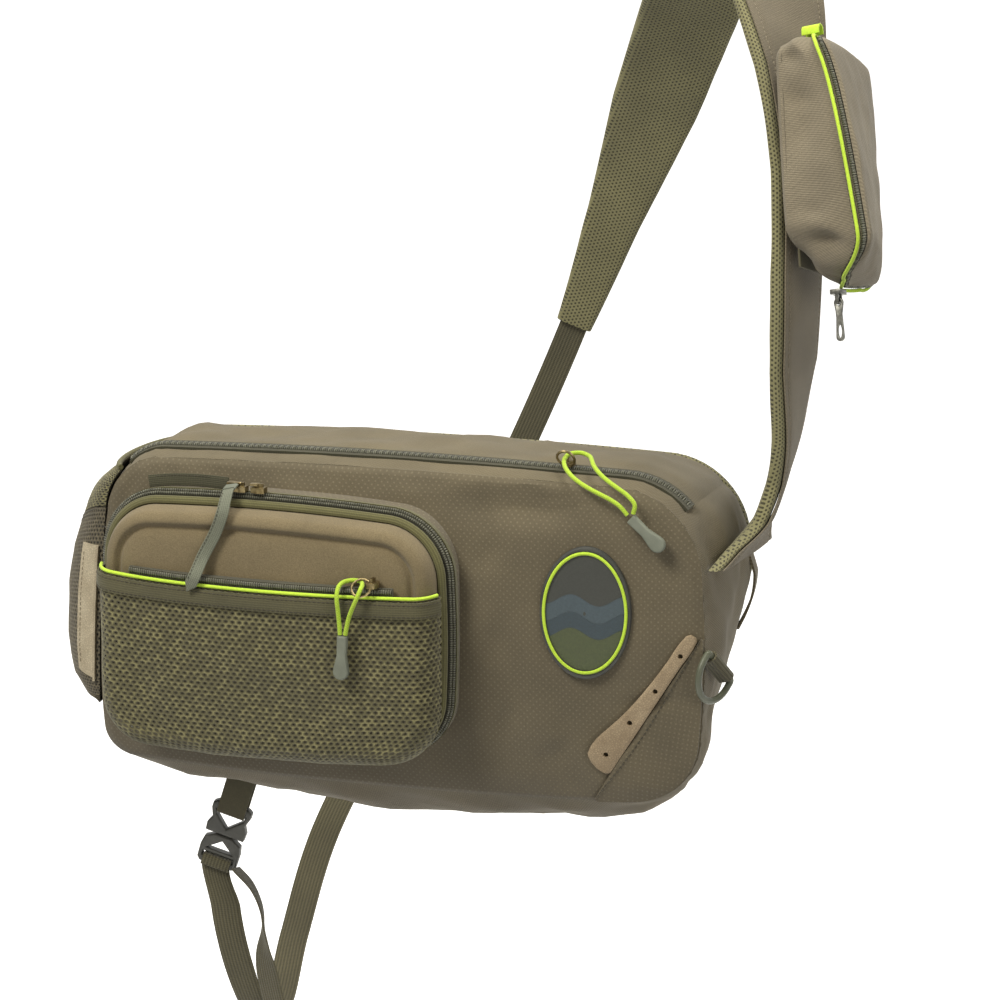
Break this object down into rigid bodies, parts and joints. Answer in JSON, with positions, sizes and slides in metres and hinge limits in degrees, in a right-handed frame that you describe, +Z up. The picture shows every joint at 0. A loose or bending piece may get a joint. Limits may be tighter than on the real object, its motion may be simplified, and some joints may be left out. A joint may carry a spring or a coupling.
{
  "type": "fishing sling bag",
  "caption": "Padded fishing sling bag with a moulded front pocket, mesh pockets, a wide shoulder strap and a zipped strap pouch",
  "frame": {"origin": "the inner face of the strap pad on top of the shoulder, where the bag hangs", "axes": "X runs along the bag to the strap's lower end, Y from the bag's front to the wearer, Z up"},
  "size_m": [0.5362, 0.4695, 0.7392],
  "materials": {
    "binding": "woven binding tape",
    "brass": "antique",
    "cloth": "woven polyester with a fine dotted grid",
    "leather": "natural leather, matt",
    "mesh": "open knitted mesh",
    "moulded": "cloth over moulded foam",
    "neon": "bright yellow-green cord and piping",
    "plastic": "moulded, satin",
    "pull": "soft moulded grip",
    "ring": "moulded, satin",
    "rubber": "moulded, matt",
    "steel": "dark satin",
    "twill": "plain woven polyester",
    "webbing": "ribbed webbing",
    "zip": "coil zip"
  },
  "bodies": {
    "bag": {"front_panel": "cloth", "corner_panel": "cloth", "gusset_bottom": "twill", "end_panel_right": "twill", "end_panel_left": "twill", "gusset_top_front": "twill", "main_zip": "zip", "gusset_top_back": "twill", "back_panel": "mesh", "end_tape": "twill", "main_slider": "brass", "main_pull_cord": "neon", "main_pull_end": "pull", "pocket_wall": "cloth", "pocket_zip": "zip", "pocket_binding": "binding", "pocket_lid": "moulded", "mesh_pocket": "mesh", "mesh_band": "binding", "mesh_piping": "neon", "mesh_zip": "zip", "pocket_slider_left": "brass", "pocket_slider_right": "brass", "pocket_pull_hanging": "pull", "pocket_pull_lying": "binding", "mesh_slider": "brass", "mesh_pull_cord": "neon", "mesh_pull_end": "pull", "patch": "rubber", "patch_ring": "neon", "leather_strip": "leather", "leather_tab": "leather", "d_ring_loop": "webbing", "side_pocket_lower": "mesh", "side_pocket_upper": "mesh", "side_pocket_rim": "binding", "strap_pad": "mesh", "strap_face": "twill", "strap_webbing": "webbing", "webbing_tail": "webbing", "buckle_socket": "plastic", "buckle_plug": "plastic", "buckle_tab": "webbing", "pouch_back": "twill", "pouch_zip": "zip", "pouch_front": "twill", "pouch_piping": "neon", "pouch_tab": "neon", "pouch_keeper": "webbing", "pouch_slider": "steel"},
    "d_ring": {"d_ring": "ring"},
    "pouch_pull": {"pouch_pull": "steel"}
  },
  "joints": [
    {"name": "d_ring_swing", "type": "hinge", "parent": "bag", "child": "d_ring", "pos_m": [0.04299, -0.20663, -0.42906], "axis": [-0.2996, -0.6492, 0.6991], "range_deg": [0, 110]},
    {"name": "pouch_pull_swing", "type": "hinge", "parent": "bag", "child": "pouch_pull", "pos_m": [0.1, -0.14801, -0.20936], "axis": [-0.2512, -0.9278, 0.2759], "range_deg": [-60, 60]}
  ]
}
